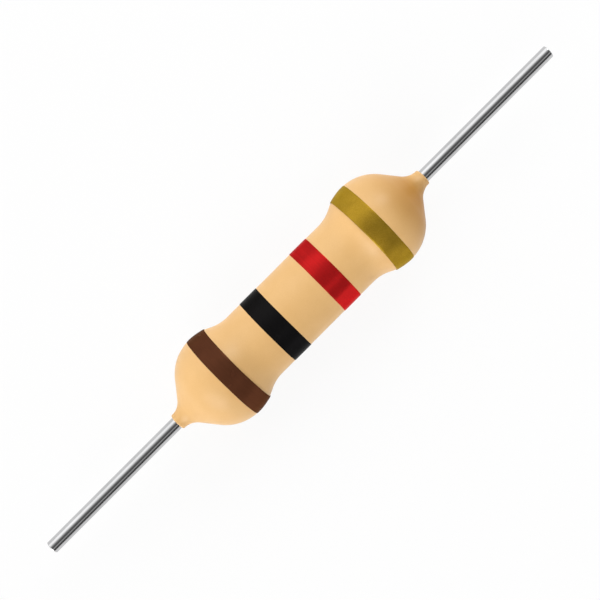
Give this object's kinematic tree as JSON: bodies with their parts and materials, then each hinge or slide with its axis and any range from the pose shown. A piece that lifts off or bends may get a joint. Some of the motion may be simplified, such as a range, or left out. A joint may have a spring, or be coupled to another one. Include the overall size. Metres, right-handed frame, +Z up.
{
  "type": "axial film resistor",
  "caption": "Axial film resistor with a cream lacquered dog-bone body, rings of colour code and a straight tinned wire lead at each end.",
  "frame": {"origin": "middle of the body, on the axis of the wires", "axes": "+X runs along the wires from the first band, brown, to the tolerance band, gold; +Z is up; the part is round about X"},
  "size_m": [0.0352, 0.005, 0.005],
  "materials": {
    "ceramic": "matte",
    "carbon": "satin",
    "cap_steel": "satin",
    "tinned_wire": "satin",
    "lacquer": "satin",
    "brown_paint": "satin",
    "black_paint": "satin",
    "red_paint": "satin",
    "gold_paint": "satin"
  },
  "bodies": {
    "root": {"ceramic_core": "ceramic", "carbon_film": "carbon", "end_cap_first": "cap_steel", "end_cap_last": "cap_steel", "lead_first": "tinned_wire", "lead_last": "tinned_wire", "lacquer_coat": "lacquer", "band_1_brown": "brown_paint", "band_2_black": "black_paint", "band_3_red": "red_paint", "band_4_gold": "gold_paint"}
  },
  "joints": []
}
